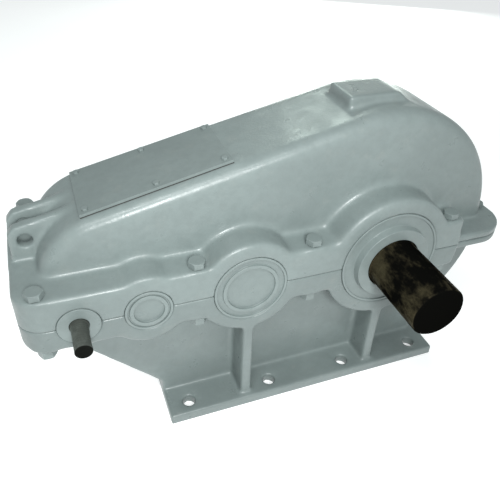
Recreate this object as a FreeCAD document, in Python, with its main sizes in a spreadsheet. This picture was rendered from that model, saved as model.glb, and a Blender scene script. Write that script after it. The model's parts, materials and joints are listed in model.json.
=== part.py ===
import FreeCAD, Part
import Sketcher
import math
import os

# A three-stage parallel-shaft gear reducer in a split cast-iron casing.
# Millimetres, +Z up. The origin is the centre of the foot bolt pattern on the foot's underside.
# X runs along the row of shafts, from the input end (-X) to the output end (+X).
# Every shaft is parallel to Y, and both free shaft ends point to -Y, the front.

doc = FreeCAD.newDocument("gear_reducer")
sheet = doc.addObject("Spreadsheet::Sheet", "Dimensions")

DIMENSIONS = {
    # the shafts, from the output shaft back to the input shaft
    "axis_height": 265,
    "output_axis_x": 123,
    "third_centres": 250,
    "second_centres": 160,
    "first_centres": 100,
    # the hollow hull that the two casings share
    "hull_half_width": 84,
    "wall": 10,
    "floor_thickness": 22,
    "hull_left_x": -432,
    "end_radius": 105,
    "top_slope": 13.5,
    "crown_radius": 228,
    "crown_rise": 12,
    "edge_round": 20,
    "knee_height": 214,
    "toe_height": 40,
    "heel_x": 251,
    # the thick bolting band along both sides, and the thin flange at the output end
    "boss_half_width": 136,
    "upper_band": 54,
    "lower_band": 41,
    "band_left_x": -469,
    "band_right_x": 264,
    "band_corner": 40,
    "end_flange": 14,
    "end_flange_x": 382,
    "end_flange_half_width": 130,
    "end_flange_corner": 60,
    # the foot
    "foot_half_length": 268,
    "foot_half_width": 147,
    "foot_thickness": 20,
    "foot_hole_pitch": 153,
    "foot_hole_row": 120,
    "foot_hole_radius": 11,
    "spot_face_radius": 20,
    "rib_thickness": 20,
    # round bosses about each bearing
    "output_boss": 117,
    "second_boss": 85,
    "first_boss": 62,
    "input_boss": 45,
    # bearings: bore radius, outside radius and width
    "bearing_face": 112,
    "output_bearing_bore": 50,
    "output_bearing_outside": 90,
    "output_bearing_width": 34,
    "second_bearing_bore": 27.5,
    "second_bearing_outside": 60,
    "second_bearing_width": 29,
    "first_bearing_bore": 15,
    "first_bearing_outside": 36,
    "first_bearing_width": 19,
    "input_bearing_bore": 15,
    "input_bearing_outside": 31,
    "input_bearing_width": 17,
    # bearing covers, held by a rim that sits in a groove of the split bore
    "adjusting_ring": 3,
    "rim_start": 119,
    "rim_end": 127,
    "rim_height": 4,
    "rim_clearance": 0.1,
    "cover_hub": 66,
    "cover_hub_rise": 10.6,
    "seal_width": 12,
    "seal_depth": 13.5,
    "seal_gap": 0.3,
    "seal_cover": 3,
    "seal_clearance": 0.8,
    "input_seal_depth": 9,
    "output_journal": 46.5,
    "input_journal": 13.5,
    "journal_overhang": 1.4,
    # gear teeth
    "third_module": 5,
    "third_pinion_teeth": 20,
    "third_gear_teeth": 80,
    "second_module": 4,
    "second_pinion_teeth": 16,
    "second_gear_teeth": 64,
    "first_module": 2.5,
    "first_pinion_teeth": 16,
    "first_gear_teeth": 64,
    "tooth_gap": 0.35,
    # where the gears sit along Y
    "third_gear_front": -14,
    "third_gear_back": 58,
    "second_gear_front": -66,
    "second_gear_back": -24,
    "first_gear_front": 18,
    "first_gear_back": 48,
    "pinion_overlap": 2,
    "gear_recess": 0.2,
    # seats, hubs and keys inside
    "output_seat": 55,
    "output_hub": 82,
    "output_key": 28,
    "second_seat": 32,
    "second_hub": 52,
    "second_key": 18,
    "first_seat": 20,
    "first_hub": 34,
    "first_key": 12,
    "key_margin": 5,
    "output_collar_rise": 9,
    "second_collar_rise": 7,
    "first_sleeve_rise": 6,
    "input_shoulder_rise": 3,
    "pinion_shoulder_rise": 4,
    "journal_land": 4,
    "shaft_stop": 110,
    # free shaft ends, each with a keyway
    "output_end_radius": 45,
    "output_end_y": -273,
    "output_end_chamfer": 3,
    "output_end_key": 25,
    "output_end_key_depth": 9,
    "output_end_key_length": 100,
    "input_end_radius": 12.5,
    "input_end_y": -188,
    "input_end_chamfer": 1.5,
    "input_end_key": 8,
    "input_end_key_depth": 4,
    "input_end_key_length": 32,
    "end_key_margin": 6,
    # inspection cover on the sloping top
    "cover_plate_left_x": -359,
    "cover_plate_right_x": -135,
    "cover_plate_half_width": 64,
    "cover_plate_thickness": 4,
    "gasket_thickness": 1.5,
    "hatch_margin": 22,
    "cover_screw_inset": 10,
    "cover_screw_radius": 3,
    "cover_screw_flats": 9,
    "cover_screw_head": 3.5,
    "cover_screw_length": 13,
    "cover_screw_clearance": 0.3,
    # lifting ears and the lifting lug on the crown
    "ear_outer_y": 30,
    "ear_thickness": 18,
    "ear_left_x": -461,
    "ear_hole_x": -438,
    "ear_hole_z": 351,
    "ear_hole_radius": 11,
    "ear_nose_drop": 9,
    "ear_nose_length": 9,
    "lug_left_x": 60,
    "lug_peak_x": 150,
    "lug_right_x": 200,
    "lug_half_width": 36,
    "lug_top": 517,
    "lug_root": 40,
    # fasteners
    "casing_bolt_y": 118,
    "casing_bolt_radius": 8,
    "casing_bolt_hole": 9,
    "casing_bolt_flats": 24,
    "casing_bolt_head": 10,
    "casing_nut_height": 13,
    "casing_bolt_tail": 20,
    "nut_washer": 3,
    "left_bolt_inset": 32,
    "right_bolt_inset": 22,
    "spot_face": 17,
    "spot_face_depth": 25,
    "end_bolt_x": 366,
    "end_bolt_y": 52,
    "end_bolt_radius": 6,
    "end_bolt_hole": 6.75,
    "end_bolt_flats": 18,
    "end_bolt_head": 7.5,
    "end_nut_height": 10,
    "end_bolt_tail": 14,
    "dowel_radius": 6,
    "dowel_half_length": 13,
    "dowel_right_x": 310,
    "dowel_right_y": 108,
    "dowel_left_x": -450,
    "dowel_left_y": -66,
    # oil plugs and the breather
    "drain_x": 60,
    "drain_height": 48,
    "level_height": 128,
    "plug_radius": 10,
    "plug_head": 17,
    "plug_pad": 24,
    "plug_pad_rise": 6,
    "plug_thickness": 9,
    "plug_washer": 2,
    "breather_x": 123,
    "breather_height": 440,
    "breather_stem": 9,
    "breather_collar": 5,
    "breather_collar_inset": 2,
    "breather_cap_side": 9,
    "breather_cap_chamfer": 3,
    "breather_cap_slope": 4,
}


class Size:
    """A number and the sheet expression that gives it, so that sketches stay bound to the sheet."""

    def __init__(self, value, text):
        self.value = value
        self.text = text

    def __add__(self, other):
        other = as_size(other)
        return Size(self.value + other.value, f"({self.text} + {other.text})")

    def __sub__(self, other):
        other = as_size(other)
        return Size(self.value - other.value, f"({self.text} - {other.text})")

    def __mul__(self, other):
        other = as_size(other)
        return Size(self.value * other.value, f"({self.text} * {other.text})")

    def __truediv__(self, other):
        other = as_size(other)
        return Size(self.value / other.value, f"({self.text} / {other.text})")

    def __neg__(self):
        return Size(-self.value, f"(0 - {self.text})")

    def __radd__(self, other):
        return as_size(other) + self

    def __rsub__(self, other):
        return as_size(other) - self

    def __rmul__(self, other):
        return as_size(other) * self


def as_size(number):
    if isinstance(number, Size):
        return number
    return Size(float(number), f"({float(number)!r})")


def root(size):
    return Size(math.sqrt(size.value), f"sqrt({size.text})")


def sine(angle):
    return Size(math.sin(math.radians(angle.value)), f"sin({angle.text})")


def cosine(angle):
    return Size(math.cos(math.radians(angle.value)), f"cos({angle.text})")


class Dimensions:
    """Reads a dimension by its alias as a Size."""

    def __getattr__(self, alias):
        return Size(float(DIMENSIONS[alias]), f"Dimensions.{alias}")


d = Dimensions()
for row, (alias, number) in enumerate(DIMENSIONS.items(), start=1):
    sheet.set(f"A{row}", alias.replace("_", " "))
    sheet.set(f"B{row}", str(number))
    sheet.setAlias(f"B{row}", alias)
doc.recompute()

parts = []
FRONT = -1
BACK = 1


def bind(thing, path, size):
    thing.setExpression(path, as_size(size).text)


def place(thing, x=0, y=0, z=0):
    for letter, size in zip("xyz", (x, y, z)):
        bind(thing, f"Placement.Base.{letter}", size)


def keep(thing, label):
    """Count an object as one of the finished sub-parts."""
    thing.Label = label
    parts.append(thing)
    return thing


def new_body(label):
    body = doc.addObject("PartDesign::Body", label)
    return keep(body, label)


def origin_plane(body, role):
    return next(item for item in body.Origin.OriginFeatures if item.Role == role)


def new_sketch(body, role, offset=None):
    """A sketch on one of the body's origin planes, moved along the plane's normal by offset."""
    sketch = body.newObject("Sketcher::SketchObject", body.Label + "_sketch")
    sketch.AttachmentSupport = (origin_plane(body, role), [""])
    sketch.MapMode = "FlatFace"
    if offset is not None:
        bind(sketch, "AttachmentOffset.Base.z", offset)
    return sketch


def pin_point(sketch, geometry, end, x, y):
    """Fix one end of a sketch line or arc, or a circle's centre, at (x, y)."""
    for kind, size, axis in (("DistanceX", x, -2), ("DistanceY", y, -1)):
        if size.value == 0:
            sketch.addConstraint(Sketcher.Constraint("PointOnObject", geometry, end, axis))
        else:
            rule = Sketcher.Constraint(kind, -1, 1, geometry, end, size.value)
            index = sketch.addConstraint(rule)
            bind(sketch, f"Constraints[{index}]", size)


def arc_between(start, end, centre):
    """The short arc from start to end about centre, and whether it runs anticlockwise."""
    first = math.atan2(start[1] - centre[1], start[0] - centre[0])
    last = math.atan2(end[1] - centre[1], end[0] - centre[0])
    radius = math.hypot(start[0] - centre[0], start[1] - centre[1])
    forward = (last - first) % (2 * math.pi) < math.pi
    if not forward:
        first, last = last, first
    circle = Part.Circle(FreeCAD.Vector(*centre, 0), FreeCAD.Vector(0, 0, 1), radius)
    return Part.ArcOfCircle(circle, first, last), forward


def draw_outline(sketch, points):
    """Draw a closed outline. A point is (x, y), or (x, y, radius, (centre x, centre y)) where
    the edge that leaves it is an arc about that centre."""
    points = [tuple(as_size(item) if not isinstance(item, tuple) else item for item in point)
              for point in points]
    ends = []
    for here, there in zip(points, points[1:] + points[:1]):
        start = (here[0].value, here[1].value)
        end = (there[0].value, there[1].value)
        if len(here) == 2:
            line = Part.LineSegment(FreeCAD.Vector(*start, 0), FreeCAD.Vector(*end, 0))
            ends.append((sketch.addGeometry(line, False), 1, 2))
        else:
            centre = tuple(as_size(item).value for item in here[3])
            arc, forward = arc_between(start, end, centre)
            index = sketch.addGeometry(arc, False)
            ends.append((index, 1, 2) if forward else (index, 2, 1))
    for (index, _, last), (after, first, _) in zip(ends, ends[1:] + ends[:1]):
        sketch.addConstraint(Sketcher.Constraint("Coincident", index, last, after, first))
    for (index, first, _), point in zip(ends, points):
        pin_point(sketch, index, first, point[0], point[1])
        if len(point) > 2:
            rule = Sketcher.Constraint("Radius", index, point[2].value)
            bind(sketch, f"Constraints[{sketch.addConstraint(rule)}]", point[2])


def draw_box(sketch, left, low, right, high):
    draw_outline(sketch, [(left, low), (right, low), (right, high), (left, high)])


def draw_circle(sketch, x, y, radius):
    x, y, radius = as_size(x), as_size(y), as_size(radius)
    circle = Part.Circle(FreeCAD.Vector(x.value, y.value, 0), FreeCAD.Vector(0, 0, 1), radius.value)
    index = sketch.addGeometry(circle, False)
    pin_point(sketch, index, 3, x, y)
    rule = Sketcher.Constraint("Radius", index, radius.value)
    bind(sketch, f"Constraints[{sketch.addConstraint(rule)}]", radius)


def draw_slab_end(sketch, left, right, half_width, corner):
    """A plan outline, symmetric about X, with rounded corners at its right end."""
    inner = right - corner
    side = half_width - corner
    draw_outline(sketch, [
        (left, -half_width),
        (inner, -half_width, corner, (inner, -side)),
        (right, -side),
        (right, side, corner, (inner, side)),
        (inner, half_width),
        (left, half_width),
    ])


def swell(body, sketch, kind, length, midplane=False, backwards=False):
    """Pad or pocket a sketch by a length, and check that it really adds or removes material."""
    before = 0.0 if body.Tip is None else body.Shape.Volume
    feature = body.newObject("PartDesign::" + kind, body.Label + "_" + kind.lower())
    feature.Profile = sketch
    bind(feature, "Length", length)
    if midplane:
        feature.Midplane = True
    feature.Reversed = backwards
    doc.recompute()
    check_change(body, before, kind == "Pad")
    return feature


def check_change(body, before, grows):
    change = body.Shape.Volume - before
    if (change > 1.0) != grows or (change < -1.0) == grows:
        raise RuntimeError(f"{body.Label}: the last feature changed the volume by {change:.1f}")


def spin(body, sketch, cuts=False):
    """Turn a half profile about the part's own Y axis. Sketch x is the radius, sketch y is Y."""
    before = 0.0 if body.Tip is None else body.Shape.Volume
    kind = "Groove" if cuts else "Revolution"
    feature = body.newObject("PartDesign::" + kind, body.Label + "_" + kind.lower())
    feature.Profile = sketch
    feature.ReferenceAxis = (sketch, ["V_Axis"])
    feature.Angle = 360
    doc.recompute()
    check_change(body, before, not cuts)
    return feature


def turned(label, profile, x, mirrored=False, z=None):
    """A turned piece about an axis along Y, by default a shaft's: profile is (radius, y) corners."""
    body = new_body(label)
    sketch = new_sketch(body, "XY_Plane")
    if mirrored:
        profile = [(radius, -as_size(y)) for radius, y in reversed(profile)]
    draw_outline(sketch, profile)
    spin(body, sketch)
    place(body, x, 0, d.axis_height if z is None else z)
    return body


def stepped(steps):
    """The half profile of a solid shaft from (radius, start, end) steps along Y."""
    corners = [(0, steps[0][1])]
    for radius, start, end in steps:
        corners.append((radius, start))
        corners.append((radius, end))
    corners.append((0, steps[-1][2]))
    return corners


def ring(inside, outside, start, end):
    return [(inside, start), (outside, start), (outside, end), (inside, end)]


# The four shafts. Each row holds the name and every size that follows from the shaft.
X_OUTPUT = d.output_axis_x
X_SECOND = X_OUTPUT - d.third_centres
X_FIRST = X_SECOND - d.second_centres
X_INPUT = X_FIRST - d.first_centres


class Axis:
    def __init__(self, name, prefix, x):
        self.name = name
        self.prefix = prefix
        self.x = x
        self.boss = getattr(d, prefix + "_boss")
        self.bore = getattr(d, prefix + "_bearing_bore")
        self.outside = getattr(d, prefix + "_bearing_outside")
        self.width = getattr(d, prefix + "_bearing_width")
        self.inner_face = d.bearing_face - self.width


OUTPUT = Axis("output", "output", X_OUTPUT)
SECOND = Axis("second_intermediate", "second", X_SECOND)
FIRST = Axis("first_intermediate", "first", X_FIRST)
INPUT = Axis("input", "input", X_INPUT)
AXES = [OUTPUT, SECOND, FIRST, INPUT]


# The hull's outline from the side. The sloping top is tangent to the end round and the crown.
SINE = sine(d.top_slope)
COSINE = cosine(d.top_slope)
CROWN_Z = d.axis_height + d.crown_rise
END_X = d.hull_left_x + d.end_radius
END_Z = CROWN_Z + (d.crown_radius - d.end_radius + (END_X - X_OUTPUT) * SINE) / COSINE


def slope_height(x):
    """Height of the sloping top's outer face at x."""
    touch_x = END_X - d.end_radius * SINE
    touch_z = END_Z + d.end_radius * COSINE
    return touch_z + (x - touch_x) * SINE / COSINE


def upper_hull(inset):
    """Side outline of the upper hull above the split, moved in by inset."""
    end = d.end_radius - inset
    crown = d.crown_radius - inset
    left = d.hull_left_x + inset
    right = X_OUTPUT + root(crown * crown - d.crown_rise * d.crown_rise)
    return [
        (left, d.axis_height),
        (left, END_Z, end, (END_X, END_Z)),
        (END_X - end * SINE, END_Z + end * COSINE),
        (X_OUTPUT - crown * SINE, CROWN_Z + crown * COSINE, crown, (X_OUTPUT, CROWN_Z)),
        (right, d.axis_height),
    ]


def lower_hull(inset, floor):
    """Side outline of the lower hull below the split, moved in by inset, down to floor."""
    crown = d.crown_radius - inset
    right = root(crown * crown - d.crown_rise * d.crown_rise)
    heel = d.heel_x - inset
    heel_z = d.axis_height - root(right * right - (heel - X_OUTPUT) * (heel - X_OUTPUT))
    left = d.hull_left_x + inset
    run = -d.foot_half_length - d.hull_left_x
    drop = d.knee_height - d.toe_height
    length = root(run * run + drop * drop)
    knee_z = d.knee_height + inset * (length - drop) / run
    toe_x = -d.foot_half_length + inset
    toe_z = d.toe_height + inset * (length - drop) / run
    return [
        (left, d.axis_height),
        (left, knee_z),
        (toe_x, toe_z),
        (toe_x, floor),
        (heel, floor),
        (heel, heel_z, right, (X_OUTPUT, d.axis_height)),
        (X_OUTPUT + right, d.axis_height),
    ]


def half_disc(sketch, axis, radius, upward):
    """The half of a boss on one side of the split."""
    left, right = axis.x - radius, axis.x + radius
    centre = (axis.x, d.axis_height)
    turn = 1 if upward else -1
    middle = (axis.x, d.axis_height + turn * radius)
    draw_outline(sketch, [
        (left, d.axis_height, radius, centre),
        middle + (radius, centre),
        (right, d.axis_height),
    ])


def bearing_bosses(body, upward):
    for axis in AXES:
        sketch = new_sketch(body, "XZ_Plane")
        half_disc(sketch, axis, axis.boss, upward)
        swell(body, sketch, "Pad", 2 * d.boss_half_width, midplane=True)


def bearing_bores(body):
    """Bore the casing right through and cut the grooves that hold the bearing covers."""
    sketch = new_sketch(body, "XZ_Plane")
    for axis in AXES:
        draw_circle(sketch, axis.x, d.axis_height, axis.outside)
    swell(body, sketch, "Pocket", 2 * d.boss_half_width + 10, midplane=True)
    depth = d.rim_end - d.rim_start + 2 * d.rim_clearance
    for side in (FRONT, BACK):
        start = -side * (d.rim_start - d.rim_clearance)
        sketch = new_sketch(body, "XZ_Plane", start)
        for axis in AXES:
            radius = axis.outside + d.rim_height + d.rim_clearance
            draw_circle(sketch, axis.x, d.axis_height, radius)
        swell(body, sketch, "Pocket", depth, backwards=side == FRONT)


def bolt_sites():
    """Where the long casing bolts stand: between the bearings and at both ends, on both sides."""
    beside_second = X_SECOND - SECOND.boss + 3
    between_large = (X_OUTPUT - OUTPUT.boss + X_SECOND + SECOND.boss) / 2
    places = [d.band_left_x + d.left_bolt_inset, beside_second, between_large,
              d.band_right_x - d.right_bolt_inset]
    return [(x, side * d.casing_bolt_y) for side in (FRONT, BACK) for x in places]


def end_bolt_sites():
    return [(d.end_bolt_x, side * d.end_bolt_y) for side in (FRONT, BACK)]


def dowel_sites():
    return [(d.dowel_right_x, d.dowel_right_y), (d.dowel_left_x, d.dowel_left_y)]


def drill(body, sites, radius, start, length):
    """Round holes along Z, from the height start upward."""
    sketch = new_sketch(body, "XY_Plane", start)
    for x, y in sites:
        draw_circle(sketch, x, y, radius)
    return swell(body, sketch, "Pocket", length, backwards=True)


def flange_holes(body):
    """Bolt holes, the spot faces that clear the bolt heads and nuts, and blind dowel holes."""
    low = d.axis_height - d.lower_band
    drill(body, bolt_sites(), d.casing_bolt_hole, low - 1, d.upper_band + d.lower_band + 2)
    seat = low - d.spot_face_depth
    if body.Label == "upper_casing":
        seat = d.axis_height + d.upper_band
    drill(body, bolt_sites(), d.spot_face, seat, d.spot_face_depth)
    low = d.axis_height - d.end_flange - 1
    drill(body, end_bolt_sites(), d.end_bolt_hole, low, 2 * d.end_flange + 2)
    low = d.axis_height - d.dowel_half_length
    drill(body, dowel_sites(), d.dowel_radius, low, 2 * d.dowel_half_length)


def round_edges(body, wanted, radius):
    """Round every edge of the body that the test accepts."""
    names = [f"Edge{number}" for number, edge in enumerate(body.Shape.Edges, start=1) if wanted(edge)]
    base = body.Tip
    feature = body.newObject("PartDesign::Fillet", body.Label + "_round")
    feature.Base = (base, names)
    bind(feature, "Radius", radius)
    doc.recompute()
    return feature


def on_hull_side(edge):
    """True for the hull's outline edges on its two side faces, above or below the split."""
    box = edge.BoundBox
    flat = box.YLength < 0.01 and abs(abs(box.YMin) - DIMENSIONS["hull_half_width"]) < 0.01
    along_split = box.ZLength < 0.01 and abs(box.ZMin - DIMENSIONS["axis_height"]) < 0.01
    return flat and not along_split


def make_upper_casing():
    body = new_body("upper_casing")
    sketch = new_sketch(body, "XZ_Plane")
    draw_outline(sketch, upper_hull(as_size(0)))
    swell(body, sketch, "Pad", 2 * d.hull_half_width, midplane=True)
    round_edges(body, on_hull_side, d.edge_round)
    band(body, d.upper_band, upward=True)
    bearing_bosses(body, upward=True)
    lifting_ears(body)
    lifting_lug(body)
    wall_pads(body, [(d.breather_x, d.breather_height)])
    sketch = new_sketch(body, "XZ_Plane")
    draw_outline(sketch, upper_hull(d.wall))
    swell(body, sketch, "Pocket", 2 * (d.hull_half_width - d.wall), midplane=True)
    bearing_bores(body)
    flange_holes(body)
    hatch(body)
    wall_holes(body, [(d.breather_x, d.breather_height)])


def band(body, height, upward):
    """The thick band along both sides and the left end, and the thin flange at the right end."""
    sketch = new_sketch(body, "XY_Plane", d.axis_height)
    outer = d.boss_half_width
    corner = d.band_corner
    left = d.band_left_x
    inner = left + corner
    side = outer - corner
    draw_outline(sketch, [
        (d.band_right_x, -outer),
        (d.band_right_x, outer),
        (inner, outer, corner, (inner, side)),
        (left, side),
        (left, -side, corner, (inner, -side)),
        (inner, -outer),
    ])
    swell(body, sketch, "Pad", height, backwards=not upward)
    sketch = new_sketch(body, "XY_Plane", d.axis_height)
    draw_slab_end(sketch, as_size(0), d.end_flange_x, d.end_flange_half_width, d.end_flange_corner)
    swell(body, sketch, "Pad", d.end_flange, backwards=not upward)


def lifting_ears(body):
    """Two upright ears that carry on the line of the sloping top beyond the input end."""
    for side in (FRONT, BACK):
        near = d.ear_outer_y if side == FRONT else -(d.ear_outer_y - d.ear_thickness)
        sketch = new_sketch(body, "XZ_Plane", near)
        left = d.ear_left_x
        draw_outline(sketch, [
            (left, d.axis_height + 1),
            (END_X, d.axis_height + 1),
            (END_X, slope_height(END_X) - 1),
            (left + d.ear_nose_length, slope_height(left + d.ear_nose_length)),
            (left, slope_height(left) - d.ear_nose_drop),
        ])
        draw_circle(sketch, d.ear_hole_x, d.ear_hole_z, d.ear_hole_radius)
        swell(body, sketch, "Pad", d.ear_thickness, backwards=True)


def lifting_lug(body):
    """The solid lug on the crown, flat on top and sloped toward the output end."""
    sketch = new_sketch(body, "XZ_Plane", d.lug_half_width)
    base = CROWN_Z + d.crown_radius - d.lug_root
    draw_outline(sketch, [
        (d.lug_left_x, base),
        (d.lug_right_x, base),
        (d.lug_right_x, d.lug_top - d.lug_root),
        (d.lug_peak_x, d.lug_top),
        (d.lug_left_x, d.lug_top),
    ])
    swell(body, sketch, "Pad", 2 * d.lug_half_width, backwards=True)


def hatch(body):
    """The rectangular opening under the inspection cover."""
    sketch = new_sketch(body, "XY_Plane", END_Z)
    half = d.cover_plate_half_width - d.hatch_margin
    draw_box(sketch, d.cover_plate_left_x + d.hatch_margin, -half,
             d.cover_plate_right_x - d.hatch_margin, half)
    swell(body, sketch, "Pocket", 200, backwards=True)


def make_lower_casing():
    body = new_body("lower_casing")
    sketch = new_sketch(body, "XZ_Plane")
    draw_outline(sketch, lower_hull(as_size(0), as_size(0)))
    swell(body, sketch, "Pad", 2 * d.hull_half_width, midplane=True)
    band(body, d.lower_band, upward=False)
    bearing_bosses(body, upward=False)
    sketch = new_sketch(body, "XY_Plane")
    draw_box(sketch, -d.foot_half_length, -d.foot_half_width, d.foot_half_length, d.foot_half_width)
    swell(body, sketch, "Pad", d.foot_thickness)
    for axis in (OUTPUT, SECOND):
        sketch = new_sketch(body, "YZ_Plane", axis.x)
        draw_box(sketch, -d.boss_half_width, d.foot_thickness - 5, d.boss_half_width,
                 d.axis_height - 0.8 * axis.boss)
        swell(body, sketch, "Pad", d.rib_thickness, midplane=True)
    plugs = [(d.drain_x, d.drain_height), (d.drain_x, d.level_height)]
    wall_pads(body, plugs)
    sketch = new_sketch(body, "XZ_Plane")
    draw_outline(sketch, lower_hull(d.wall, d.floor_thickness))
    swell(body, sketch, "Pocket", 2 * (d.hull_half_width - d.wall), midplane=True)
    bearing_bores(body)
    flange_holes(body)
    foot_holes(body)
    wall_holes(body, plugs)


def wall_pads(body, sites):
    """Round pads on the back wall, at (x, z), for the oil plugs and the breather."""
    sketch = new_sketch(body, "XZ_Plane", -(d.hull_half_width - 1))
    for x, z in sites:
        draw_circle(sketch, x, z, d.plug_pad)
    swell(body, sketch, "Pad", d.plug_pad_rise + 1, backwards=True)


def wall_holes(body, sites):
    """Holes through the back wall and its pads."""
    sketch = new_sketch(body, "XZ_Plane", -(d.hull_half_width - d.wall - 1))
    for x, z in sites:
        draw_circle(sketch, x, z, d.plug_radius)
    swell(body, sketch, "Pocket", d.wall + d.plug_pad_rise + 2)


def foot_holes(body):
    places = [(step * d.foot_hole_pitch / 2, side * d.foot_hole_row)
              for side in (FRONT, BACK) for step in (-3, -1, 1, 3)]
    drill(body, places, d.foot_hole_radius, as_size(-1), d.foot_thickness + 2)
    drill(body, places, d.spot_face_radius, d.foot_thickness - 1, as_size(3))


# Bearing covers: a disc in the bore with a rim in the groove.
def cover_profile(axis, hole, face):
    """Half profile of a cover on the back side. hole is its inner radius, or 0 for a blind one."""
    start = d.bearing_face + d.adjusting_ring
    rim = axis.outside + d.rim_height
    return [
        (hole, start),
        (axis.outside, start),
        (axis.outside, d.rim_start),
        (rim, d.rim_start),
        (rim, d.rim_end),
        (axis.outside, d.rim_end),
        (axis.outside, d.boss_half_width),
    ] + face


def blind_face(axis):
    """Two raised rings round a shallow dish."""
    face = d.boss_half_width
    dish = 0.72 * axis.outside
    return [
        (axis.outside - 4, face),
        (axis.outside - 4, face - 3),
        (dish + 3, face - 3),
        (dish + 3, face),
        (dish - 3, face),
        (dish - 3, face - 4),
        (0, face - 4),
    ]


def make_covers():
    for axis in AXES:
        turned(axis.name + "_cover_back", cover_profile(axis, as_size(0), blind_face(axis)), axis.x)
    for axis in (SECOND, FIRST):
        turned(axis.name + "_cover_front", cover_profile(axis, as_size(0), blind_face(axis)),
               axis.x, mirrored=True)
    seal = d.output_journal + d.seal_depth
    proud = d.boss_half_width + d.cover_hub_rise
    face = [
        (OUTPUT.outside - 4, d.boss_half_width),
        (OUTPUT.outside - 4, d.boss_half_width - 2),
        (d.cover_hub + 2, d.boss_half_width - 2),
        (d.cover_hub, proud),
    ] + seal_housing(d.output_journal, seal, proud)
    turned("output_cover_front", cover_profile(OUTPUT, seal, face), OUTPUT.x, mirrored=True)
    seal = d.input_journal + d.input_seal_depth
    face = seal_housing(d.input_journal, seal, d.boss_half_width)
    turned("input_cover_front", cover_profile(INPUT, seal, face), INPUT.x, mirrored=True)


def seal_housing(journal, seal, face):
    """The lip that hides a shaft seal from outside, and the step that the seal is pressed into."""
    hole = journal + d.seal_clearance
    return [(hole, face), (hole, face - d.seal_cover), (seal, face - d.seal_cover)]


def seal_profile(shaft, depth, face):
    """A rotary lip seal: a flat case with a lip that leans in to the shaft."""
    back = face - d.seal_width
    outside = shaft + depth
    lip = shaft + d.seal_gap
    return [
        (outside, back),
        (outside, face),
        (shaft + 3, face),
        (shaft + 2, face - 2),
        (shaft + 4, face - 3),
        (shaft + 3, face - 5),
        (lip, face - 6),
        (lip + 1, face - 8),
        (shaft + 5, face - 7),
        (outside - 3, face - 4),
        (outside - 3, back),
    ]


def make_seals():
    face = d.boss_half_width + d.cover_hub_rise - d.seal_cover
    turned("output_shaft_seal", seal_profile(d.output_journal, d.seal_depth, face),
           OUTPUT.x, mirrored=True)
    turned("input_shaft_seal",
           seal_profile(d.input_journal, d.input_seal_depth, d.boss_half_width - d.seal_cover),
           INPUT.x, mirrored=True)


# Bearings: outer rings stay in the casing, inner rings and rollers turn with the shaft.
def group(label, members):
    """Several identical pieces that share one node."""
    compound = doc.addObject("Part::Compound", label)
    compound.Links = members
    return keep(compound, label)


def hollow_cylinder(name, inside, outside, start, length, x):
    """A plain ring about a shaft axis, from y = start toward +Y."""
    pair = []
    for suffix, radius in (("_solid", outside), ("_hole", inside)):
        cylinder = doc.addObject("Part::Cylinder", name + suffix)
        bind(cylinder, "Radius", radius)
        bind(cylinder, "Height", length)
        cylinder.Placement = FreeCAD.Placement(FreeCAD.Vector(0, 0, 0),
                                               FreeCAD.Rotation(FreeCAD.Vector(1, 0, 0), -90))
        place(cylinder, x, start, d.axis_height)
        pair.append(cylinder)
    cut = doc.addObject("Part::Cut", name)
    cut.Base, cut.Tool = pair
    return cut


def ring_pair(label, axis, inside, outside, start, length):
    """Two equal rings, one at each end of the shaft, from |y| = start outward."""
    members = [hollow_cylinder(label + "_front", inside, outside, -(start + length), length, axis.x),
               hollow_cylinder(label + "_rear", inside, outside, start, length, axis.x)]
    return group(label, members)


def make_bearings():
    for axis in AXES:
        depth = axis.outside - axis.bore
        race = axis.bore + 0.3 * depth
        roller = 0.19 * depth
        track = race + roller
        outer_race = track + roller + 0.5
        ring_pair(axis.name + "_bearing_outer_rings", axis, outer_race, axis.outside,
                  axis.inner_face, axis.width)
        ring_pair(axis.name + "_bearing_inner_rings", axis, axis.bore, race,
                  axis.inner_face, axis.width)
        count = int(math.pi / math.asin(roller.value / track.value) * 0.86)
        rollers = []
        for side in (FRONT, BACK):
            start = axis.inner_face + 3
            if side == FRONT:
                start = -(d.bearing_face - 3)
            for number in range(count):
                angle = 2 * math.pi * number / count
                cylinder = doc.addObject("Part::Cylinder", axis.name + "_roller")
                bind(cylinder, "Radius", roller)
                bind(cylinder, "Height", axis.width - 6)
                cylinder.Placement = FreeCAD.Placement(
                    FreeCAD.Vector(0, 0, 0), FreeCAD.Rotation(FreeCAD.Vector(1, 0, 0), -90))
                place(cylinder, axis.x + track * math.cos(angle), start,
                      d.axis_height + track * math.sin(angle))
                rollers.append(cylinder)
        group(axis.name + "_bearing_rollers", rollers)
        inside = axis.outside - 0.22 * depth
        ring_pair(axis.name + "_adjusting_rings", axis, inside, axis.outside,
                  d.bearing_face, d.adjusting_ring)


# Gear teeth: each space between two teeth has involute sides, drawn as an arc through three
# points of the involute, and is cut once and repeated round the axis.
PRESSURE_ANGLE = math.radians(20)


def involute(angle):
    return math.tan(angle) - angle


def space_half_angle(teeth, module, radius):
    """Half the angle of the space between two teeth at this radius."""
    pitch_radius = teeth * module / 2
    base_radius = pitch_radius * math.cos(PRESSURE_ANGLE)
    here = math.acos(min(1.0, base_radius / radius))
    tooth = math.pi / (2 * teeth) - DIMENSIONS["tooth_gap"] / pitch_radius
    tooth += involute(PRESSURE_ANGLE) - involute(here)
    return math.pi / teeth - tooth


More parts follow.
